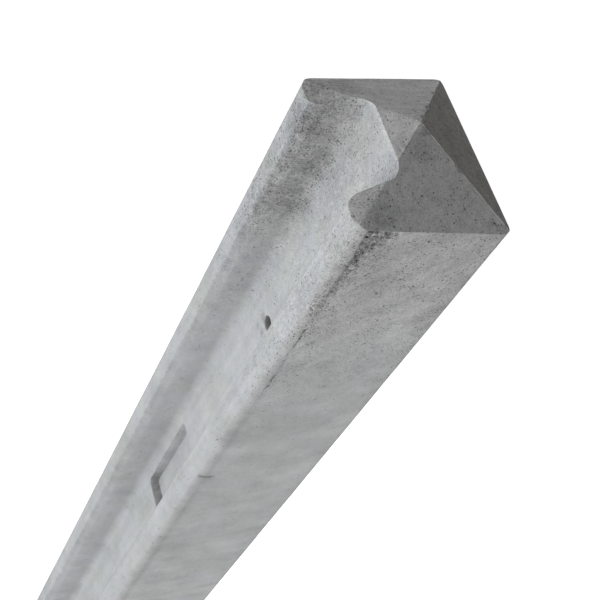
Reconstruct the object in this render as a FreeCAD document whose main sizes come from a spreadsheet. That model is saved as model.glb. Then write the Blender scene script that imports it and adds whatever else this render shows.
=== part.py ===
"""Slotted concrete end post for a fence, cast in one piece.

The post stands along +Z with the middle of its foot at the origin. The slot that takes
the fence panel runs the whole length of the -X face. The other three faces are plain.
"""
import FreeCAD, Part
import os

import Sketcher
from FreeCAD import Placement, Rotation, Vector

NODE = "concrete_post"
NEAR = 1e-3

# Driving sizes in millimetres, and one angle in degrees
SIZES = (
    ("post_length", 2440, "foot to the point of the head"),
    ("post_depth", 95, "slotted face to plain back"),
    ("face_width", 104, "across the slotted face, as if its edges were sharp"),
    ("back_width", 113, "across the plain back, as if its edges were sharp"),
    ("face_edge_radius", 8.5, "long edges of the slotted face"),
    ("back_edge_radius", 5.5, "long edges of the plain back"),
    ("head_height", 25, "shoulder to the point of the head"),
    ("point_offset", 1.75, "point of the head, from the middle towards the slotted face"),
    ("slot_depth", 29, "slotted face to the slot's floor"),
    ("slot_floor_width", 56, "across the floor, as if its corners were sharp"),
    ("slot_mouth_width", 61.5, "across the mouth, as if its edges were sharp"),
    ("slot_mouth_radius", 8, "rounded edges of the mouth"),
    ("slot_floor_radius", 8, "rounded corners of the floor"),
    ("bolt_hole_diameter", 10, "through the web behind the slot"),
    ("bolt_hole_drop", 171, "shoulder down to the hole's centre"),
    ("recess_drop", 347, "shoulder down to the recess's upper edge"),
    ("recess_length", 104.5, "along the post, at the slot's floor"),
    ("recess_width", 43.5, "across the post, at the slot's floor"),
    ("recess_depth", 7.5, "below the slot's floor"),
    ("recess_corner_radius", 4, "corners of the recess"),
    ("recess_draft", 16, "lean of the recess's walls, in degrees"),
)

doc = FreeCAD.newDocument("fence_post")
sheet = doc.addObject("Spreadsheet::Sheet", "Sizes")
for row, (alias, size, note) in enumerate(SIZES, start=1):
    sheet.set(f"A{row}", alias)
    sheet.set(f"B{row}", str(size))
    sheet.set(f"C{row}", note)
    sheet.setAlias(f"B{row}", alias)
doc.recompute()

body = doc.addObject("PartDesign::Body", "Post")
body.Label = NODE


# Ways of drawing and cutting that every feature below uses

def value(expression):
    """What an expression on the sheet of sizes comes to."""
    return float(body.evalExpression(expression))


def origin_plane(role):
    return next(f for f in body.Origin.OriginFeatures if f.Role == role)


def add_sketch(name, role, offset="0", turn="0"):
    """A sketch on an origin plane, moved out of it and turned about its upright axis."""
    sketch = body.newObject("Sketcher::SketchObject", name)
    sketch.AttachmentSupport = [(origin_plane(role), "")]
    sketch.MapMode = "FlatFace"
    upright = Vector(0, 1, 0)
    sketch.AttachmentOffset = Placement(Vector(0, 0, value(offset)), Rotation(upright, value(turn)))
    sketch.setExpression("AttachmentOffset.Base.z", offset)
    sketch.setExpression("AttachmentOffset.Rotation.Angle", turn)
    return sketch


def dimension(sketch, kind, expression, *where):
    """A dimension tied to the sheet of sizes."""
    index = sketch.addConstraint(Sketcher.Constraint(kind, *where, value(expression)))
    sketch.setExpression(f"Constraints[{index}]", expression)


def draw_outline(sketch, corners):
    """Closed outline of straight lines, each corner dimensioned from the sketch's origin."""
    origin = (-1, 1)
    points = [Vector(value(x), value(y), 0) for x, y in corners]
    for start, end in zip(points, points[1:] + points[:1]):
        sketch.addGeometry(Part.LineSegment(start, end))
    for line, (x, y) in enumerate(corners):
        following = (line + 1) % len(corners)
        sketch.addConstraint(Sketcher.Constraint("Coincident", line, 2, following, 1))
        dimension(sketch, "DistanceX", x, *origin, line, 1)
        dimension(sketch, "DistanceY", y, *origin, line, 1)


def cut(kind, name, sketch, tied=(), **settings):
    """A pocket or a hole, which has to take something away from the solid before it."""
    doc.recompute()
    before = body.Shape.Volume
    feature = body.newObject(f"PartDesign::{kind}", name)
    feature.Profile = sketch
    for key, setting in settings.items():
        setattr(feature, key, setting)
    for key, expression in tied:
        feature.setExpression(key, expression)
    doc.recompute()
    if not body.Shape.Volume < before:
        raise RuntimeError(f"{name} cuts nothing")
    return feature


def round_edges(name, radius, chosen, count):
    """Round the edges whose two end points pass a test."""
    names = []
    for number, edge in enumerate(body.Shape.Edges, start=1):
        ends = [vertex.Point for vertex in edge.Vertexes]
        if len(ends) == 2 and chosen(*ends):
            names.append(f"Edge{number}")
    if len(names) != count:
        raise RuntimeError(f"{name} finds {len(names)} edges, not {count}")
    base = body.Tip
    fillet = body.newObject("PartDesign::Fillet", name)
    fillet.Base = (base, names)
    fillet.setExpression("Radius", radius)
    doc.recompute()


# Shaft: wider at the back than at the slotted face, so that the casting leaves its mould.
# It is drawn a little too long, and the head's slopes trim it.

HALF_DEPTH = "Sizes.post_depth / 2"
HALF_FACE = "Sizes.face_width / 2"
HALF_BACK = "Sizes.back_width / 2"
TRIM = 0.1

section = add_sketch("Section", "XY_Plane")
draw_outline(section, [(f"-{HALF_DEPTH}", HALF_FACE), (HALF_DEPTH, HALF_BACK),
                       (HALF_DEPTH, f"-{HALF_BACK}"), (f"-{HALF_DEPTH}", f"-{HALF_FACE}")])
shaft = body.newObject("PartDesign::Pad", "Shaft")
shaft.Profile = section
shaft.setExpression("Length", f"Sizes.post_length + {TRIM} * Sizes.head_height")

# Slot for the panel: open at both ends, with walls that lean out towards the mouth.
# The cutting outline runs on past the mouth by a share of the slot's depth.

PAST = 0.25
FLOOR_X = f"Sizes.slot_depth - {HALF_DEPTH}"
HALF_FLOOR = "Sizes.slot_floor_width / 2"
HALF_MOUTH = "Sizes.slot_mouth_width / 2"
OUTSIDE_X = f"-{HALF_DEPTH} - {PAST} * Sizes.slot_depth"
HALF_OUTSIDE = f"({HALF_MOUTH} + {PAST} * ({HALF_MOUTH} - {HALF_FLOOR}))"

slot_profile = add_sketch("SlotProfile", "XY_Plane")
draw_outline(slot_profile, [(OUTSIDE_X, HALF_OUTSIDE), (FLOOR_X, HALF_FLOOR),
                            (FLOOR_X, f"-{HALF_FLOOR}"), (OUTSIDE_X, f"-{HALF_OUTSIDE}")])
cut("Pocket", "PanelSlot", slot_profile, Type="ThroughAll", Reversed=True)

# Rounded long edges. Where a lip or a slot wall is narrow, its two radii share it.


def round_long_edges(name, x, y, radius):
    """Round the pair of upright edges at a plan point and at its mirror image."""
    corners = [Vector(value(x), side * value(y), 0) for side in (-1, 1)]

    def upright(*ends):
        plan = [Vector(end.x, end.y, 0) for end in ends]
        return any(all(p.distanceToPoint(c) < NEAR for p in plan) for c in corners)
    round_edges(name, radius, upright, 2)


LIP_SHARE = "0.45 * (Sizes.face_width - Sizes.slot_mouth_width) / 2"
WALL_SHARE = "0.45 * Sizes.slot_depth"
round_long_edges("FaceEdges", f"-{HALF_DEPTH}", HALF_FACE, f"min(Sizes.face_edge_radius; {LIP_SHARE})")
round_long_edges("BackEdges", HALF_DEPTH, HALF_BACK, "Sizes.back_edge_radius")
round_long_edges("SlotMouthEdges", f"-{HALF_DEPTH}", HALF_MOUTH,
                 f"min(Sizes.slot_mouth_radius; {LIP_SHARE}; {WALL_SHARE})")
round_long_edges("SlotFloorCorners", FLOOR_X, HALF_FLOOR,
                 f"min(Sizes.slot_floor_radius; {WALL_SHARE})")

# Head: four slopes that shed water, each a plane from one edge of the shoulder up to the point.
# A slope's sketch is square to its edge, and its outline runs on past both ends of the slope.

SHOULDER = "(Sizes.post_length - Sizes.head_height)"
OVER_TOP = f"Sizes.post_length + {PAST} * Sizes.head_height"
UNDER_SHOULDER = f"{SHOULDER} - {PAST} * Sizes.head_height"


def cut_slope(name, role, point, run, turn="0"):
    """Take away what lies above one slope; point and run are places along its sketch."""
    behind = f"{point} - {PAST} * {run}"
    beyond = f"{point} + (1 + {PAST}) * {run}"
    slope = add_sketch(f"{name}Profile", role, turn=turn)
    draw_outline(slope, [(behind, OVER_TOP), (beyond, UNDER_SHOULDER), (beyond, OVER_TOP)])
    return cut("Pocket", name, slope, Type="ThroughAll", SideType="Symmetric")


cut_slope("FrontSlope", "XZ_Plane", "-Sizes.point_offset", f"(Sizes.point_offset - {HALF_DEPTH})")
cut_slope("BackSlope", "XZ_Plane", "-Sizes.point_offset", f"(Sizes.point_offset + {HALF_DEPTH})")

SIDE_LEAN = "atan((Sizes.back_width - Sizes.face_width) / 2 / Sizes.post_depth)"
SIDE_POINT = f"Sizes.point_offset * sin({SIDE_LEAN})"
SIDE_RUN = f"((Sizes.face_width + Sizes.back_width) / 4 * cos({SIDE_LEAN}) - {SIDE_POINT})"
side_slope = cut_slope("SideSlope", "YZ_Plane", SIDE_POINT, SIDE_RUN, turn=SIDE_LEAN)

side_slopes = body.newObject("PartDesign::Mirrored", "SideSlopes")
side_slopes.Originals = [side_slope]
side_slopes.MirrorPlane = (origin_plane("XZ_Plane"), [""])
body.Tip = side_slopes

# Bolt hole: square through the web, from the plain back into the slot

HOLE_HEIGHT = f"{SHOULDER} - Sizes.bolt_hole_drop"
hole_mark = add_sketch("BoltHoleMark", "YZ_Plane", offset=HALF_DEPTH)
hole_mark.addGeometry(Part.Circle(Vector(0, value(HOLE_HEIGHT), 0), Vector(0, 0, 1),
                                  value("Sizes.bolt_hole_diameter / 2")))
hole_mark.addConstraint(Sketcher.Constraint("PointOnObject", 0, 3, -2))
dimension(hole_mark, "Diameter", "Sizes.bolt_hole_diameter", 0)
dimension(hole_mark, "DistanceY", HOLE_HEIGHT, -1, 1, 0, 3)
cut("Hole", "BoltHole", hole_mark, tied=[("Diameter", "Sizes.bolt_hole_diameter")],
    DepthType="ThroughAll")

# Bare recess in the slot's floor. Its walls lean, so that the mould's block comes away,
# and they are drawn from the slotted face down to the recess's own floor.

SPREAD = "Sizes.slot_depth * tan(Sizes.recess_draft)"
RIM_SIDE = f"(Sizes.recess_width / 2 + {SPREAD})"
RIM_TOP = f"{SHOULDER} - Sizes.recess_drop + {SPREAD}"
RIM_FOOT = f"{SHOULDER} - Sizes.recess_drop - Sizes.recess_length - {SPREAD}"
RECESS_FLOOR_X = f"{FLOOR_X} + Sizes.recess_depth"

rim = add_sketch("RecessBlock", "YZ_Plane", offset=f"-{HALF_DEPTH}")
draw_outline(rim, [(f"-{RIM_SIDE}", RIM_FOOT), (RIM_SIDE, RIM_FOOT),
                   (RIM_SIDE, RIM_TOP), (f"-{RIM_SIDE}", RIM_TOP)])
cut("Pocket", "Recess", rim, Reversed=True,
    tied=[("Length", "Sizes.slot_depth + Sizes.recess_depth"), ("TaperAngle", "-Sizes.recess_draft")])


def recess_corner(*ends):
    """Whether an edge leads from the recess's floor up to its rim."""
    high, low = sorted(ends, key=lambda end: end.x)
    floor = value(RECESS_FLOOR_X)
    inside = all(value(RIM_FOOT) < end.z < value(RIM_TOP) for end in ends)
    return inside and abs(low.x - floor) < NEAR and high.x < floor - NEAR


round_edges("RecessCorners", "Sizes.recess_corner_radius", recess_corner, 4)

# Checks, then the file

for item in doc.Objects:
    if {"Invalid", "Error"} & set(item.State):
        raise RuntimeError(f"{item.Name} failed: {item.State}")
shape = body.Shape
if shape.isNull() or not shape.isValid() or len(shape.Solids) != 1:
    raise RuntimeError("the post isn't one valid solid")

os.makedirs("parts", exist_ok=True)
shape.exportStep(f"parts/{body.Label}.step")
print(f"{body.Label}: {shape.Volume / 1e6:.3f} litres, {len(shape.Faces)} faces")
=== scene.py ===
import math

import bmesh
import bpy
from mathutils import Matrix, Quaternion, Vector, geometry, noise


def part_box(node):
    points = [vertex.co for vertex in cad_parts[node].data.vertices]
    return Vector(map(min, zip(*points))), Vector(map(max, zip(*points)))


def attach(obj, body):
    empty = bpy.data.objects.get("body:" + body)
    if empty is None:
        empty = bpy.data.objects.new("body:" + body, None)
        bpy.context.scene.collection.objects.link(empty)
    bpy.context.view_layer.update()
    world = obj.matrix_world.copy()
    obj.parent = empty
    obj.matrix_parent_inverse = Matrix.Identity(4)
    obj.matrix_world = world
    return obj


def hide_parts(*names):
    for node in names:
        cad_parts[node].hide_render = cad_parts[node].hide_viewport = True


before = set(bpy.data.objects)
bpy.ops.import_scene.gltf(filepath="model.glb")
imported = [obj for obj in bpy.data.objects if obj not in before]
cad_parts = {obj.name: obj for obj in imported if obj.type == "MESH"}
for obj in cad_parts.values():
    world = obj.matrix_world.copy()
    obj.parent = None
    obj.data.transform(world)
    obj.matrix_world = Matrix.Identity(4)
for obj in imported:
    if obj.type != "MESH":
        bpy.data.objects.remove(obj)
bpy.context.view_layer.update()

# Shaft of the post: grey concrete, cast in one piece in a steel mould. It is wider at the back than
# at the slotted face so that it leaves the mould, the slot for the panel runs its whole length,
# and every long edge is rounded.
low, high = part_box("concrete_post")
FACE_X, BACK_X = low.x, high.x
FACE_HALF, BACK_HALF = 0.052, 0.0565
FACE_ROUND, BACK_ROUND = 0.0085, 0.0055
FLOOR_X = FACE_X + 0.029
FLOOR_HALF, MOUTH_HALF, SLOT_ROUND = 0.028, 0.03075, 0.008
ARC_STEP = 0.0015
SPARE = 0.004

half_section = [(BACK_X, BACK_HALF, BACK_ROUND), (FACE_X, FACE_HALF, FACE_ROUND),
                (FACE_X, MOUTH_HALF, SLOT_ROUND), (FLOOR_X, FLOOR_HALF, SLOT_ROUND)]
section = half_section + [(x, -y, radius) for x, y, radius in reversed(half_section)]


def only(kind, parts):
    """The parts of one kind: vertices, edges or faces."""
    return [part for part in parts if isinstance(part, kind)]


def round_corners(ring, radii):
    """Round the corners of a flat face, each to its own radius."""
    roundings = []
    for place, radius in enumerate(radii):
        here, before, after = (ring[(place + step) % len(ring)].co for step in (0, -1, 1))
        turn = math.pi - (before - here).angle(after - here)
        roundings.append((ring[place], radius * math.tan(turn / 2), round(radius * turn / ARC_STEP)))
    for corner, reach, segments in roundings:
        bmesh.ops.bevel(post, geom=[corner], affect="VERTICES", offset=reach, offset_type="OFFSET",
                        segments=segments, profile=0.5, material=-1)


post = bmesh.new()
corners = [post.verts.new((x, y, low.z)) for x, y, radius in section]
post.faces.new(corners)
round_corners(corners, [radius for x, y, radius in section])
raised = bmesh.ops.extrude_face_region(post, geom=list(post.faces))["geom"]
bmesh.ops.translate(post, vec=(0, 0, high.z - low.z + SPARE), verts=only(bmesh.types.BMVert, raised))

# Head: four slopes struck in the same mould, which shed water. They meet in a point that sits
# a little nearer the slotted face, and the slot runs out through two of the ridges between them.
SHOULDER_Z = high.z - 0.025
POINT = Vector((-0.00175, 0, high.z))
RIDGE_WIDTH = 0.0005
SHARP = math.radians(14)
HEAD_SNAP, MERGE = 1e-7, 2e-5

shoulder = [Vector((x, y, SHOULDER_Z)) for x, y in
            ((FACE_X, FACE_HALF), (FACE_X, -FACE_HALF), (BACK_X, -BACK_HALF), (BACK_X, BACK_HALF))]
front_far, front_near, back_near, back_far = shoulder
for start, end in zip(shoulder, shoulder[1:] + shoulder[:1]):
    cut = bmesh.ops.bisect_plane(post, geom=post.verts[:] + post.edges[:] + post.faces[:],
                                 dist=HEAD_SNAP, plane_co=POINT,
                                 plane_no=geometry.normal((start, end, POINT)), clear_outer=True)
    bmesh.ops.edgeloop_fill(post, edges=only(bmesh.types.BMEdge, cut["geom_cut"]))
bmesh.ops.remove_doubles(post, verts=post.verts, dist=MERGE)
bmesh.ops.recalc_face_normals(post, faces=post.faces)


def soften(edges, width, segments):
    """Take a narrow strip off sharp edges, as the mould leaves them."""
    return bmesh.ops.bevel(post, geom=edges, affect="EDGES", offset=width, offset_type="OFFSET",
                           segments=segments, profile=0.5, material=-1, clamp_overlap=True)


soften([edge for edge in post.edges if edge.calc_face_angle(0) > SHARP], RIDGE_WIDTH, 1)

# Recess in the slot's floor, left by a block in the mould. Its walls lean so that the block
# comes away, and its floor is bare.
RECESS_TOP_Z = SHOULDER_Z - 0.347
RECESS_FOOT_Z = RECESS_TOP_Z - 0.1045
RECESS_HALF, RECESS_DEPTH, RECESS_ROUND = 0.02175, 0.0075, 0.004
RECESS_LEAN = math.radians(16)
RIM_ROUND = 0.0028
SIDE_MARGIN, END_MARGIN = 0.0003, 0.003
WALL_SLACK, WALL_SNAP = 0.0002, 1e-6


def with_borders(faces):
    """Faces together with their edges and vertices, each once and always in the same order."""
    edges = dict.fromkeys(edge for face in faces for edge in face.edges)
    vertices = dict.fromkeys(vertex for face in faces for vertex in face.verts)
    return faces + list(edges) + list(vertices)


def open_wall(x, half, foot_z, top_z):
    """Take a rectangle out of a wall that faces along X, and return the edges round the opening."""
    parts = with_borders([face for face in post.faces
                          if all(abs(vertex.co.x - x) < WALL_SLACK for vertex in face.verts)])
    for place, across in (((x, half, 0), (0, 1, 0)), ((x, -half, 0), (0, 1, 0)),
                          ((x, 0, foot_z), (0, 0, 1)), ((x, 0, top_z), (0, 0, 1))):
        parts = bmesh.ops.bisect_plane(post, geom=parts, dist=WALL_SNAP, plane_co=place,
                                       plane_no=across)["geom"]
    inside = []
    for face in only(bmesh.types.BMFace, parts):
        middle = face.calc_center_median()
        if abs(middle.y) < half and foot_z < middle.z < top_z:
            inside.append(face)
    border = [edge for face in inside for edge in face.edges
              if sum(other in inside for other in edge.link_faces) == 1]
    bmesh.ops.delete(post, geom=inside, context="FACES")
    return border


recess_mid = (RECESS_TOP_Z + RECESS_FOOT_Z) / 2
recess_half = (RECESS_TOP_Z - RECESS_FOOT_Z) / 2
border = open_wall(FLOOR_X, RECESS_HALF + SIDE_MARGIN,
                   RECESS_FOOT_Z - END_MARGIN, RECESS_TOP_Z + END_MARGIN)
rim = [post.verts.new((FLOOR_X, y * RECESS_HALF, recess_mid + z * recess_half))
       for y, z in ((-1, -1), (1, -1), (1, 1), (-1, 1))]
post.faces.new(rim)
round_corners(rim, [RECESS_ROUND] * len(rim))
block = next(face for face in post.faces if all(edge.is_boundary for edge in face.edges))
rim = list(block.edges)
sunk = bmesh.ops.extrude_face_region(post, geom=[block])["geom"]
lean = RECESS_DEPTH * math.tan(RECESS_LEAN)
bmesh.ops.scale(post, vec=(0, 1 - lean / RECESS_HALF, 1 - lean / recess_half),
                space=Matrix.Translation((-FLOOR_X - RECESS_DEPTH, 0, -recess_mid)),
                verts=only(bmesh.types.BMVert, sunk))
bmesh.ops.delete(post, geom=[block], context="FACES_ONLY")
bmesh.ops.bridge_loops(post, edges=border + rim)
sunk_rim = [edge for face in only(bmesh.types.BMFace, sunk) for edge in face.edges]
bmesh.ops.recalc_face_normals(post, faces=post.faces)
soften(rim + sunk_rim, RIM_ROUND, 3)

# Bolt hole: a plain round hole, left by a pin that crosses the mould from the slot's floor to the
# back. A bolt through it holds the panel's fixing.
HOLE_Z = SHOULDER_Z - 0.171
HOLE_RADIUS, HOLE_PATCH, HOLE_CUTS = 0.005, 0.008, 7
HOLE_RIM_ROUND = 0.0009

mouths = []
for x in (FLOOR_X, BACK_X):
    border = open_wall(x, HOLE_PATCH, HOLE_Z - HOLE_PATCH, HOLE_Z + HOLE_PATCH)
    divided = bmesh.ops.subdivide_edges(post, edges=border, cuts=HOLE_CUTS)["geom_split"]
    border = [edge for edge in only(bmesh.types.BMEdge, divided) if edge.is_boundary]
    ring = bmesh.ops.extrude_edge_only(post, edges=border)["geom"]
    middle = Vector((x, 0, HOLE_Z))
    for vertex in only(bmesh.types.BMVert, ring):
        vertex.co = middle + (vertex.co - middle).normalized() * HOLE_RADIUS
    mouths.append([edge for edge in only(bmesh.types.BMEdge, ring) if edge.is_boundary])
bore = bmesh.ops.extrude_edge_only(post, edges=mouths[0])["geom"]
bmesh.ops.translate(post, vec=(BACK_X - FLOOR_X, 0, 0), verts=only(bmesh.types.BMVert, bore))
bmesh.ops.remove_doubles(post, verts=post.verts, dist=MERGE)
bmesh.ops.recalc_face_normals(post, faces=post.faces)


def round_the_hole(edge):
    """Whether an edge is part of the circle at either mouth of the hole."""
    start, end = (vertex.co for vertex in edge.verts)
    near = all(math.hypot(place.y, place.z - HOLE_Z) < HOLE_PATCH for place in (start, end))
    return near and abs(start.x - end.x) < WALL_SNAP


soften([edge for edge in post.edges if edge.calc_face_angle(0) > SHARP and round_the_hole(edge)],
       HOLE_RIM_ROUND, 3)

# Skin of the casting. The faces are divided finely at the head, where the eye is closest, and more
# plainly down the shaft. Four worn spots are divided again, and sharp edges of the mould stay sharp.
SEEN_DROP, HEAD_DROP = 0.795, 0.135
BANDS = ((low.z, SHOULDER_Z - SEEN_DROP, 0.008, 0.016),
         (SHOULDER_Z - SEEN_DROP, SHOULDER_Z - HEAD_DROP, 0.0032, 0.006),
         (SHOULDER_Z - HEAD_DROP, high.z, 0.0015, 0.0015))
SNAP = 0.0002
CRUMBLED_DROP, PITTED_DROP, NOTCH_DROP = 0.115, 0.175, 0.2855
EDGE_Y = -FACE_HALF - 0.002
WORN_SPOTS = (
    (Vector((FACE_X, EDGE_Y, SHOULDER_Z - CRUMBLED_DROP)),
     Vector((FACE_X + 0.019, -FACE_HALF + 0.0045, SHOULDER_Z)), 1),
    (Vector((FACE_X, EDGE_Y, SHOULDER_Z - NOTCH_DROP - 0.01)),
     Vector((FACE_X + 0.024, -FACE_HALF + 0.0045, SHOULDER_Z - NOTCH_DROP + 0.01)), 3),
    (Vector((FACE_X + 0.004, EDGE_Y, SHOULDER_Z - PITTED_DROP)),
     Vector((FACE_X + 0.014, -FACE_HALF + 0.005, SHOULDER_Z - HEAD_DROP)), 3),
    (Vector((FLOOR_X - 0.001, -0.012, HOLE_Z - 0.016)),
     Vector((FLOOR_X + 0.003, 0.018, HOLE_Z + 0.016)), 2))


def slice_parts(parts, axis, places):
    """Divide faces along planes square to one axis."""
    across = Vector([float(axis == number) for number in range(3)])
    for place in places:
        parts = bmesh.ops.bisect_plane(post, geom=parts, dist=SNAP, plane_co=across * place,
                                       plane_no=across)["geom"]
    return parts


def steps(start, stop, step):
    """Even places between two ends, no further apart than a step."""
    count = math.ceil((stop - start) / step)
    return [start + (stop - start) * number / count for number in range(1, count)]


for edge in post.edges:
    edge.smooth = edge.calc_face_angle(0) < SHARP
slice_parts(post.verts[:] + post.edges[:] + post.faces[:], 2, [top_z for _, top_z, _, _ in BANDS[:-1]])
for foot_z, top_z, across, along in BANDS:
    parts = with_borders([face for face in post.faces if foot_z < face.calc_center_median().z < top_z])
    parts = slice_parts(parts, 0, steps(FACE_X, BACK_X, across))
    parts = slice_parts(parts, 1, steps(-BACK_HALF, BACK_HALF, across))
    slice_parts(parts, 2, steps(foot_z, top_z, along))
for lowest, highest, cuts in WORN_SPOTS:
    inside = [face for face in post.faces
              if all(lowest[n] < face.calc_center_median()[n] < highest[n] for n in range(3))]
    bmesh.ops.subdivide_edges(post, edges=only(bmesh.types.BMEdge, with_borders(inside)), cuts=cuts,
                              use_grid_fill=True)

# Wear and casting marks. Air bubbles against the mould leave pits, most of them at the head. The near
# front edge has crumbled below the shoulder, the ridges and the slot's rim are rubbed and chipped,
# and dark and pale stains lie on the head, in the slot and on the near side.
SWELL, SWELL_SIZE, RIPPLE, RIPPLE_SIZE = 0.00012, 0.032, 0.00005, 0.008
PIT_DEPTH, PIT_CELL, DEPTH_DRAW = 0.0007, 0.000317, 5000
EDGE_LOSS, EDGE_RAG, RAG_SIZE = 0.0007, 0.0007, 0.0018
RIDGE_WANDER, WANDER_SIZE = 0.00025, 0.006
CHIP_DEPTH, CHIP_SIZE, CHIP_START = 0.0018, 0.004, 0.12
NOTCH_DEPTH, NOTCH_LEAN, NOTCH_SHADE = 0.0007, 0.02, 0.5
LIP_END_X, LIP_END_Y, LIP_END_RUBS, LIP_END_BROKEN = -0.03, -0.029, 5, 0.2
HEAD_PITS_DROP, CHAIN_DROP, CHAIN_Y = 0.13, 0.062, -0.049
RIM_PALE = 0.2
STAINS = (
    ((-0.0425, 0.0435, 2.4178), 0.011, 0.32),
    ((-0.0385, 0.0385, 2.4195), 0.010, 0.12),
    ((-0.0235, 0.0415, 2.4205), 0.018, 0.26),
    ((-0.0340, -0.0375, 2.4213), 0.012, 0.10),
    ((-0.0330, -0.0470, 2.4176), 0.016, 0.24),
    ((-0.0060, -0.0150, 2.4330), 0.016, 0.14),
    ((0.0005, -0.0050, 2.4380), 0.006, 0.26),
    ((-0.0435, 0.0315, 2.3960), 0.020, 0.32),
    ((-0.0385, 0.0300, 2.4150), 0.016, 0.24),
    ((-0.0300, 0.0290, 2.3690), 0.022, 0.28),
    ((-0.0310, 0.0290, 2.3480), 0.016, 0.16),
    ((-0.0395, 0.0305, 2.3310), 0.028, 0.34),
    ((-0.0450, 0.0325, 2.2950), 0.020, 0.12),
    ((-0.0465, 0.0370, 2.3600), 0.032, 0.15),
    ((-0.0475, 0.0400, 2.3120), 0.022, 0.10),
    ((-0.0470, 0.0440, 2.4050), 0.018, 0.09),
    ((-0.0397, 0.0299, 2.3716), 0.009, -0.08),
    ((-0.0205, 0.0262, 2.3340), 0.020, 0.13),
    ((-0.0185, 0.0080, 2.2900), 0.030, -0.06),
    ((-0.0185, 0.0058, 2.3290), 0.030, -0.08),
    ((-0.0185, 0.0150, 2.4185), 0.014, -0.10),
    ((-0.0457, 0.0331, 2.1857), 0.020, 0.12),
    ((-0.0195, 0.0250, 2.0600), 0.016, -0.08),
    ((-0.0185, 0.0064, 2.2415), 0.006, 0.36),
    ((-0.0185, -0.0002, 2.2336), 0.0045, 0.36),
    ((-0.0185, 0.0062, 2.2312), 0.0045, 0.32),
    ((0.0180, -0.0550, 2.3120), 0.048, -0.15),
    ((0.0080, -0.0546, 2.3560), 0.028, -0.08),
    ((-0.0150, 0.0060, 2.4328), 0.012, -0.08),
    ((-0.0042, -0.0028, 2.4387), 0.0045, -0.38))

crumbled = post.verts.layers.float.new("crumbled")
pitted = post.verts.layers.float.new("pitted")
worn = post.verts.layers.float.new("worn")
# Stains, the pale rubbed rim below the slopes and the painted shade of the notch
stain_and_shade = post.verts.layers.float.new("stain_and_shade")
front_slope = geometry.normal((front_far, front_near, POINT))


def between(value, start, stop):
    """0 before start, 1 after stop, and a smooth rise from one to the other."""
    share = min(1, max(0, (value - start) / (stop - start)))
    return share * share * (3 - 2 * share)


def off_line(place, start, end):
    """Distance in plan from a line between two points."""
    nearest, share = geometry.intersect_point_line(place.to_2d(), start.to_2d(), end.to_2d())
    if share < 0 or share > 1:
        nearest = (start if share < 0 else end).to_2d()
    return (place.to_2d() - nearest).length


def draw(place, turn=0):
    """A chance from 0 to 1 that belongs to a place on the casting, the same in every run."""
    return (noise.cell(place / PIT_CELL + Vector((0, 0, turn))) + 1) / 2


def crumbling(place, along, drop):
    """How far the near front edge is broken: full at the shoulder, with a ragged border on the lip."""
    if place.y > FACE_ROUND - FACE_HALF or drop < 0.0002:
        return 0
    ragged = noise.noise(place / 0.005)
    start = 0.0066 + 0.002 * between(drop, 0.008, 0.022) - 0.035 * drop + 0.0011 * ragged
    stop = 0.0285 - 0.006 * between(drop, 0.004, 0.02) - 0.11 * drop
    stop += 0.005 * noise.noise(place / 0.0035)
    left = 1 - between(drop + 0.03 * ragged, 0.025, CRUMBLED_DROP - 0.01)
    return left * between(along, start - 0.0008, start + 0.002) * (1 - between(along, stop - 0.009, stop))


def notching(along, drop):
    """How deep a place lies in the small notch across the near front edge."""
    off_notch = abs(drop - NOTCH_DROP - NOTCH_LEAN * (along - 0.009))
    length = between(along, 0.0025, 0.005) * (1 - between(along, 0.012, 0.017))
    return (1 - between(off_notch, 0.0003, 0.0018)) * length


def pit_chance(place, out, along, drop):
    """How likely a pit is: more at the head and on the slot's far wall, most in a chain down the edge."""
    chance = 0
    if drop < HEAD_PITS_DROP:
        slot_wall = between(-out.y, 0.3, 0.8) * between(place.y, 0.01, 0.02)
        chance = 0.003 + between(-drop, -HEAD_PITS_DROP, -0.02) * (0.004 + 0.012 * slot_wall)
    if place.y < CHAIN_Y:
        line = 0.0037 + 0.0056 * between(drop, CHAIN_DROP, 0.102) + 0.001 * noise.noise(place / 0.012)
        chain = 1 - between(abs(along - line), 0.0006, 0.0015)
        chain *= between(noise.noise(place / 0.003), -0.1, 0.05)
        chain *= between(drop, CHAIN_DROP, 0.075) * (1 - between(drop, 0.155, PITTED_DROP))
        chance += 0.9 * chain
    return chance


def rubbing(place, out, drop):
    """How far a ridge or rim is rubbed pale."""
    from_point = (place - POINT).length
    if from_point < 0.003:
        return 1
    if off_line(place, POINT, back_far) < 0.0012:
        return 0.7 * (1 - between(from_point, 0.015, 0.035))
    return 0.4 if -out.x > 0.3 and drop < -0.0005 else 0.3


def at_lip_end(place):
    """Whether a place is on the near lip's end at the head."""
    return place.y < LIP_END_Y and place.x < LIP_END_X and place.z > SHOULDER_Z - 0.001


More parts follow.
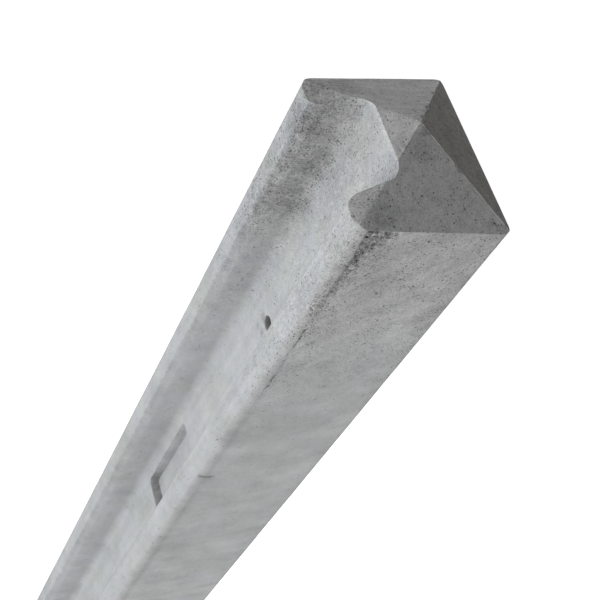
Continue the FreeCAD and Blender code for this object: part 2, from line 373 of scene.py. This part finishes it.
lip_end_edge = [edge for edge in post.edges
                if not edge.smooth and all(at_lip_end(vertex.co) for vertex in edge.verts)]
for edge in lip_end_edge:
    edge.smooth = True
beside = dict.fromkeys(face for edge in lip_end_edge for vertex in edge.verts
                       for face in vertex.link_faces)
lip_end_verts = only(bmesh.types.BMVert, with_borders(list(beside)))
for _ in range(LIP_END_RUBS):
    bmesh.ops.smooth_vert(post, verts=lip_end_verts, factor=0.5,
                          use_axis_x=True, use_axis_y=True, use_axis_z=True)
post.normal_update()
moves = []
for vertex in post.verts:
    place, out = vertex.co.copy(), vertex.normal.copy()
    drop = SHOULDER_Z - place.z
    along = place.x - FACE_X
    on_ridge = drop < 0.001 and any(not edge.smooth for edge in vertex.link_edges)
    move = out * (SWELL * noise.noise(place / SWELL_SIZE) + RIPPLE * noise.noise(place / RIPPLE_SIZE))
    loose = crumbling(place, along, drop)
    loss = EDGE_LOSS * (1 - 0.6 * between(drop, 0.02, 0.06))
    move -= out * loose * (loss + EDGE_RAG * noise.noise(place / RAG_SIZE))
    lip_end = between(out.z, 0.5, 0.7) * between(-out.x, 0.2, 0.4) * between(-place.y, 0.024, 0.03)
    vertex[crumbled] = max(loose, LIP_END_BROKEN * lip_end)
    vertex[stain_and_shade] = sum(dark * (1 - between((place - Vector(middle)).length, 0, reach))
                          for middle, reach, dark in STAINS)
    if out.y < -0.8 and place.y < -0.05:
        groove = notching(along, drop)
        # The notch is cut in and painted darker, as painted shade in the groove
        move -= out * NOTCH_DEPTH * groove
        vertex[stain_and_shade] += NOTCH_SHADE * groove
    chance = 0.08 * loose + pit_chance(place, out, along, drop)
    if -out.z < 0.5 and not on_ridge and draw(place) < chance:
        vertex[pitted] = 0.3 + 0.7 * draw(place, DEPTH_DRAW)
        move -= out * PIT_DEPTH * vertex[pitted]
    if out.x < -0.5 and abs(place.y) < FLOOR_HALF and place.x > FLOOR_X - 0.003:
        below_rim = front_slope.dot(POINT - place)
        vertex[stain_and_shade] -= RIM_PALE * (1 - between(below_rim, 0.0004, 0.0036))
    if on_ridge:
        vertex[worn] = rubbing(place, out, drop)
        if drop < -0.0015 and place.x > POINT.x - 0.002:
            chip = max(0, noise.noise(place / CHIP_SIZE) - CHIP_START)
            move += noise.noise_vector(place / WANDER_SIZE) * RIDGE_WANDER - out * chip * CHIP_DEPTH
    moves.append((vertex, move))
for vertex, move in moves:
    vertex.co += move
for face in post.faces:
    face.smooth = True
post.normal_update()

mesh = bpy.data.meshes.new("concrete_post_cast")
post.to_mesh(mesh)
cast = bpy.data.objects.new("concrete_post_cast", mesh)
bpy.context.scene.collection.objects.link(cast)
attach(cast, "root")
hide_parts("concrete_post")

# Finish of the concrete: cement grey, cloudy where the mix settled, with fine sand showing, long
# streaks down the slotted face, wiped marks across the plain side and rubbed pale edges. Lengths
# are in millimetres here, and drop is the depth below the shoulder.
COOL, GREEN = (0.387, 0.4, 0.42, 1), (0.386, 0.403, 0.4, 1)
PLAIN, WARM = (0.4, 0.4, 0.4, 1), (0.41, 0.4, 0.388, 1)
MM = 1000
ROUGHNESS, ROUGHNESS_SWING, SHINE = 0.9, 0.15, 0.25
BUMP_STRENGTH, BUMP_DEPTH = 0.4, 0.0005
PIT_SHADE, STROKE_DARK, FACET_RIM_DARK, BORE_SHADE, CRACK_DARK = 0.66, 0.07, 0.2, 0.5, 0.13
SCRATCH_PALE, RUBBED_PALE, RIDGE_PALE = 0.1, 0.75, 0.8


class Tone:
    """A socket of a node tree. Sums on tones add Math nodes, and node() adds any other node."""

    def __init__(self, tree, socket=None):
        self.tree, self.socket = tree, socket

    def node(self, kind, settings=None, inputs=None, output=0):
        made = self.tree.nodes.new(kind)
        for name, setting in (settings or {}).items():
            setattr(made, name, setting)
        for key, value in (inputs or {}).items():
            if isinstance(value, Tone):
                self.tree.links.new(value.socket, made.inputs[key])
            else:
                made.inputs[key].default_value = value
        return Tone(self.tree, made.outputs[output]) if made.outputs else made

    def math(self, operation, first, second=0):
        return self.node("ShaderNodeMath", {"operation": operation}, {0: first, 1: second})

    def colours(self, share, first, second):
        return self.node("ShaderNodeMix", {"data_type": "RGBA"}, {0: share, 6: first, 7: second}, 2)

    def __add__(self, other):
        return self.math("ADD", self, other)

    def __sub__(self, other):
        return self.math("SUBTRACT", self, other)

    def __rsub__(self, other):
        return self.math("SUBTRACT", other, self)

    def __mul__(self, other):
        return self.math("MULTIPLY", self, other)

    def __truediv__(self, other):
        return self.math("DIVIDE", self, other)

    def __neg__(self):
        return self.math("MULTIPLY", self, -1)

    def __abs__(self):
        return self.math("ABSOLUTE", self)

    __radd__, __rmul__ = __add__, __mul__


concrete = bpy.data.materials.new("concrete")
concrete.use_nodes = True
concrete.node_tree.nodes.clear()
mix = Tone(concrete.node_tree)
place = mix.node("ShaderNodeTexCoord", output="Object")
place = mix.node("ShaderNodeVectorMath", {"operation": "SCALE"}, {0: place, "Scale": MM})
facing = mix.node("ShaderNodeNewGeometry", output="Normal")
x, y, z = (mix.node("ShaderNodeSeparateXYZ", inputs={0: place}, output=n) for n in range(3))
face_x, face_y, face_z = (mix.node("ShaderNodeSeparateXYZ", inputs={0: facing}, output=n)
                          for n in range(3))
drop = SHOULDER_Z * MM - z


def rise(value, start, stop):
    """0 before start, 1 after stop, smooth between."""
    return mix.node("ShaderNodeMapRange", {"interpolation_type": "SMOOTHSTEP"},
                    {"Value": value, "From Min": start, "From Max": stop})


def fall(value, start, stop):
    """1 before start, 0 after stop, smooth between."""
    return 1 - rise(value, start, stop)


def band(value, start, full, fade, stop):
    """1 from full to fade, and 0 before start and after stop."""
    return rise(value, start, full) * fall(value, fade, stop)


def cloud(size, detail=2, stretch=None, turn=(0, 0, 0)):
    """Soft noise about zero, with patches of a size in millimetres."""
    where = place
    if stretch:
        where = mix.node("ShaderNodeMapping", {"vector_type": "TEXTURE"},
                         {"Vector": place, "Rotation": turn, "Scale": stretch})
    pattern = {"Vector": where, "Scale": 1 / size, "Detail": detail}
    return mix.node("ShaderNodeTexNoise", inputs=pattern) - 0.5


def layer(name):
    """A mark kept on the mesh when it was worn."""
    return mix.node("ShaderNodeAttribute", {"attribute_name": name}, output="Fac")


def pinholes(cell, small, large, kept):
    """Ragged pinholes of a radius in millimetres, in a share of the cells of a pattern, painted dark
    further on as the shade inside them.
    """
    shaken = {"Vector": place, "Scale": 1.1, "Detail": 0}
    ragged = mix.node("ShaderNodeTexNoise", inputs=shaken, output="Color")
    ragged = mix.node("ShaderNodeVectorMath", {"operation": "MULTIPLY_ADD"},
                      {0: ragged, 1: (1.3, 1.3, 1.3), 2: place})
    cells = {"Vector": ragged, "Scale": 1 / cell}
    reach = mix.node("ShaderNodeTexVoronoi", inputs=cells, output="Distance") * cell
    chances = mix.node("ShaderNodeTexVoronoi", inputs=cells, output="Color")
    size, lot = (mix.node("ShaderNodeSeparateColor", inputs={0: chances}, output=n) for n in range(2))
    return fall(reach / (small + size * (large - small)), 0.5, 1.2) * rise(kept - lot, -0.02, 0.02)


# Faces and zones of the casting
slotted = rise(-face_x, 0.6, 0.9)
lip = slotted * fall(x, -46, -44)
slope = rise(face_z, 0.4, 0.7)
back_slope = slope * rise(face_x, 0.2, 0.4)
far_slope = slope * rise(face_y, 0.2, 0.35)
slot_wall = rise(-face_y, 0.3, 0.8) * rise(y, 5, 15)
near_side = rise(-face_y, 0.5, 0.85) * fall(y, -30, -10)
hollow = (1 - slope) * fall(x, -16, -10) * rise(y, -45, -30)
at_head = fall(drop, 65, 130)
below_head = rise(drop, 70, 150)
rough = 0.3 + 0.7 * fall(drop, 65, 235)
loose, stains_and_shade, wear = layer("crumbled"), layer("stain_and_shade"), layer("worn")

# Sand, clouds and wiped marks
sand = (cloud(1.3) * 0.75 + cloud(0.6, 0) * 0.6) * rough
patches = cloud(60) * 0.3 + cloud(17) * 0.3 + cloud(4.5) * (0.12 + rough * 0.33)
streaks = cloud(1, 2, (7, 7, 70)) * slotted * 0.3
shadows = cloud(16, 3) * hollow * (0.3 + at_head * 0.7) * (0.3 + slot_wall * 0.6)
high_wipe, low_wipe = (0, math.radians(-45), 0), (0, math.radians(-12), 0)
high_smears = cloud(1, 3, (50, 8, 8), high_wipe) * (1 - below_head)
low_smears = cloud(1, 1, (45, 8, 16), low_wipe) * below_head
smears = (high_smears * 0.75 + low_smears * 0.33 + cloud(24, 1) * 0.32) * near_side
high_strokes = rise(cloud(1, 2, (24, 6, 1.3), high_wipe), 0.13, 0.22) * at_head
low_strokes = rise(cloud(1, 2, (20, 6, 2.2)), 0.16, 0.26) * (1 - at_head)
strokes = (high_strokes + low_strokes) * near_side * rise(cloud(25), 0, 0.1)
scratches = rise(cloud(1, 2, (22, 5, 1.2)), 0.12, 0.24) * far_slope

# Pinholes, crowded at the head and along the near front edge
crowd = 0.6 + cloud(13) * 2.6
kept = 0.05 + rough * rough * 0.36 + loose * 0.5
kept += at_head * (slot_wall * 0.75 + near_side * 0.2 - lip * fall(y, -10, 10) * 0.2)
kept += at_head * lip * rise(y, 28, 32) * 0.25
kept += slope * fall(x, -36, -20) * 0.4
kept += near_side * fall(x, -43, -35) * band(drop, 120, 160, 210, 270) * 0.4
kept += near_side * fall(x, -25, 5) * fall(drop, 110, 170) * 0.3
kept *= crowd
pins = mix.math("MAXIMUM", pinholes(1.5, 0.28, 0.62, kept), pinholes(4.5, 0.4, 0.85, kept * 0.4))
hole = rise(layer("pitted") + cloud(0.8, 1) * 0.9, 0.4, 0.8)
pits = mix.math("MAXIMUM", pins, hole)

# Places with a level of their own, several of them painted light or shade
# Painted shade on the near front arris, where it turns to face the near side
rounded_edge_shade = rise(-face_y, 0.55, 0.88) * fall(x, -40, -34) * fall(y, -46, -42)
recess_wall = band(x, -18.3, -17.3, -11.8, -11.2) * band(y, -26, -25, 25, 26)
recess_wall *= band(drop, 340, 345, 460, 470)
slot_floor_light = rise(cloud(14) * 1.2 - face_x, 0.1, 0.8) * band(x, -30, -22, -18.3, -17)
near_lip = lip * fall(y, -46, -42) * rise(drop, 90, 130)
# Painted shade on the rounding of the slot's far mouth, where it turns from the lip to the wall
far_mouth_shade = fall(y + cloud(8) * 3, 34, 35.5) * rise(y, 29, 31) * fall(x, -46, -41)
bore = band(x, -18.4, -13, 40, 44) * band(y, -7, -6, 6, 7) * band(drop, 164, 165, 177, 178)
off_crack = abs(y + 41.3 + cloud(9) * 5)
crack = fall(off_crack, 0.2, 0.9) * slotted * fall(x, -47, -46) * band(drop, 15, 30, 75, 105)

# Dark rim of the head's small facets beside the slot, and the rubbed line of the near back ridge
slot_round, from_face = SLOT_ROUND * MM, x - FACE_X * MM
wall_lean = (MOUTH_HALF - FLOOR_HALF) / (FLOOR_X - FACE_X)
short_x = mix.math("MAXIMUM", slot_round - from_face)
short_y = mix.math("MAXIMUM", slot_round + MOUTH_HALF * MM - from_face * wall_lean - abs(y))
from_slot = slot_round - mix.math("SQRT", short_x * short_x + short_y * short_y)
facet_rim = slope * fall(from_slot + cloud(3) * 2.5, 0.3, 2.2)
facet_rim *= rise(abs(y), 28.3, 28.9) * fall(x, -32, -28)
ridge = (back_near - POINT).to_2d().normalized()
off_ridge = abs((x - POINT.x * MM) * ridge.y - y * ridge.x)
ridge_line = slope * fall(off_ridge + cloud(2.5) * 0.8, 0.15, 0.6) * rise(x, -1, 0)
ridge_line *= 1 - band(x, 7, 12, 24, 30) * 0.7
rubbed = rise(wear + cloud(2.2, 2) * 2.2, 0.5, 0.85) * wear

# Levels of grey. The head's slopes are painted lighter, the far slope a little more, and the back slope
# painted darker: painted light and shade by the way each slope faces
level = slope * 0.13 + far_slope * 0.04 - back_slope * 0.19 - rounded_edge_shade * 0.15 - far_mouth_shade * 0.15
level += near_lip * fall(drop, 160, 220) * 0.05
# Painted light on the slot's floor and the fillet at its foot, lower down and most towards the far wall
level += slot_floor_light * rise(drop, 90, 170) * (0.03 + rise(y, 5, 22) * 0.05)
# Painted shade in the recess: its walls darker towards the recess floor and much darker at its lower end;
# the cloud is mottling of the concrete
level += recess_wall * (0.05 + cloud(7, 3) * 0.6 - rise(x, -17.5, -12) * 0.14)
level -= recess_wall * rise(drop, 420, 446) * 0.4
level += near_side * rise(x, -15, 40) * rise(drop, 220, 330) * 0.09
level += near_side * (rise(drop, 40, 90) * 0.065 - rise(drop, 220, 330) * 0.03 + 0.02)
level += slotted * (rise(x, -44, -40) * (0.1 - at_head * 0.07) - 0.06)
# Painted shade inside the bolt hole; the crack is a real dark line, and the slot's far wall is a little
# darker, more at the head
level -= slot_wall * (0.03 + at_head * 0.03) + bore * BORE_SHADE + crack * CRACK_DARK
level += far_slope * (cloud(1, 3, (24, 4, 4)) * 0.6 + cloud(1, 1, (16, 1.5, 1.5)) * 0.4)
level += slope * (cloud(5) * 0.35 + cloud(14) * 0.2)
tone = 1 + level + patches + streaks + shadows + smears - strokes * STROKE_DARK
tone += sand * (1 + loose * 0.5) + cloud(2.2) * loose * 2
tone -= stains_and_shade * (1 + cloud(3, 3) * 2.5) + loose * (0.3 + fall(drop, 12, 40) * 0.14)
tone += scratches * SCRATCH_PALE - facet_rim * FACET_RIM_DARK
# Pinholes and pits are painted dark, as painted shade inside them; the rubbed edges and the ridge line
# are pale wear
tone = tone * (1 - pits * PIT_SHADE) + rubbed * RUBBED_PALE + ridge_line * RIDGE_PALE

# Tints, relief and the shader
cool = slotted * 0.9 + (slot_wall * 0.7 + near_side * 0.35) * rise(drop, 60, 160) + cloud(35) * 0.9
tint = mix.colours(rise(cloud(28), -0.1, 0.1), GREEN, COOL)
tint = mix.colours(cool, PLAIN, tint)
tint = mix.colours(back_slope, tint, WARM)
colour = mix.node("ShaderNodeVectorMath", {"operation": "SCALE"}, {0: tint, "Scale": tone})
relief = sand * (1 + loose * 2) + patches * 0.5 + smears * 0.4 - pits * 1.2
bumps = mix.node("ShaderNodeBump", inputs={
    "Strength": BUMP_STRENGTH, "Distance": BUMP_DEPTH, "Height": relief})
skin = mix.node("ShaderNodeBsdfPrincipled", inputs={
    "Base Color": colour, "Roughness": ROUGHNESS + cloud(6) * ROUGHNESS_SWING,
    "Specular IOR Level": SHINE, "Normal": bumps})
mix.node("ShaderNodeOutputMaterial", inputs={"Surface": skin})
mesh.materials.append(concrete)

# Studio: a plain pale floor, five tall soft lamps round the post and a weak even world. The floor's own
# light makes up what the lamps leave short of white, so the post's soft shadow still shows at its foot.
FLOOR_HALF_SIZE, FLOOR_GREY = 30, (0.6, 0.6, 0.6, 1)
GLOW_AT_FOOT, GLOW_AWAY = (0.42, 0.42, 0.42, 1), (0.9, 0.9, 0.9, 1)
GLOW_START, GLOW_STOP = 0.5, 1
LAMP_REACH, LAMP_WIDTH = 1.8, 1.6
LAMPS = (("far_side", -90, 1.3, 2.43, 30.0), ("far_front", -30, 2.43, 2.43, 21.6),
         ("front", 20, 2.43, 2.43, 23.3), ("near_front", 60, 1.3, 2.43, 23.1),
         ("back", 180, 0.81, 1.52, 24.2))
WORLD_WHITE, WORLD_LIGHT = (1, 1, 1, 1), 0.175

floor = bpy.data.objects.new("studio_floor", bpy.data.meshes.new("studio_floor"))
ground = bmesh.new()
bmesh.ops.create_grid(ground, x_segments=1, y_segments=1, size=FLOOR_HALF_SIZE)
ground.to_mesh(floor.data)
bpy.context.scene.collection.objects.link(floor)

for name, turned, height, tall, watts in LAMPS:
    way = Quaternion((0, 0, 1), math.radians(turned)) @ Vector((-1, 0, 0))
    lamp = bpy.data.objects.new(f"lamp_{name}", bpy.data.lights.new(f"lamp_{name}", "AREA"))
    lamp.data.shape = "RECTANGLE"
    lamp.data.size, lamp.data.size_y = LAMP_WIDTH, tall
    lamp.data.energy = watts
    lamp.location = way * LAMP_REACH + Vector((0, 0, height))
    lamp.rotation_mode = "QUATERNION"
    lamp.rotation_quaternion = (-way).to_track_quat("-Z", "Y")
    lamp.visible_camera = False
    bpy.context.scene.collection.objects.link(lamp)


def seen_white(start):
    """1 for the rays that show the stage, and 0 for those that light the post."""
    rays = [start.node("ShaderNodeLightPath", output=name)
            for name in ("Is Camera Ray", "Is Glossy Ray", "Is Transmission Ray")]
    return rays[0] + rays[1] + rays[2]


pale = bpy.data.materials.new("studio_floor")
pale.use_nodes = True
pale.node_tree.nodes.clear()
start = Tone(pale.node_tree)
matt = start.node("ShaderNodeBsdfDiffuse", inputs={"Color": FLOOR_GREY})
spot = start.node("ShaderNodeTexCoord", output="Object")
reach = start.node("ShaderNodeVectorMath", {"operation": "LENGTH"}, {0: spot}, "Value")
away = start.node("ShaderNodeMapRange",
                  inputs={"Value": reach, "From Min": GLOW_START, "From Max": GLOW_STOP})
glow = start.colours(away, GLOW_AT_FOOT, GLOW_AWAY)
white = start.node("ShaderNodeEmission", inputs={"Color": glow, "Strength": seen_white(start)})
both = start.node("ShaderNodeAddShader", inputs={0: matt, 1: white})
start.node("ShaderNodeOutputMaterial", inputs={"Surface": both})
floor.data.materials.append(pale)

world = bpy.data.worlds.new("studio")
bpy.context.scene.world = world
world.use_nodes = True
world.node_tree.nodes.clear()
start = Tone(world.node_tree)
strength = WORLD_LIGHT + seen_white(start) * (1 - WORLD_LIGHT)
sky = start.node("ShaderNodeBackground", inputs={"Color": WORLD_WHITE, "Strength": strength})
start.node("ShaderNodeOutputWorld", inputs={"Surface": sky})

# Camera at the photograph's place and angle, tilted to one side.
EYE = Vector((-0.33266, -0.34415, 2.8151))
AIM = Vector((-0.0475, -0.04442, 2.34077))
TILT = math.radians(32.794)
LENS, SENSOR = 68.104, 36

camera = bpy.data.objects.new("camera", bpy.data.cameras.new("camera"))
camera.location = EYE
camera.rotation_mode = "QUATERNION"
camera.rotation_quaternion = (AIM - EYE).to_track_quat("-Z", "Y") @ Quaternion((0, 0, 1), TILT)
camera.data.sensor_width = SENSOR
camera.data.lens = LENS
bpy.context.scene.collection.objects.link(camera)
bpy.context.scene.camera = camera
bpy.context.scene.view_settings.view_transform = "Standard"
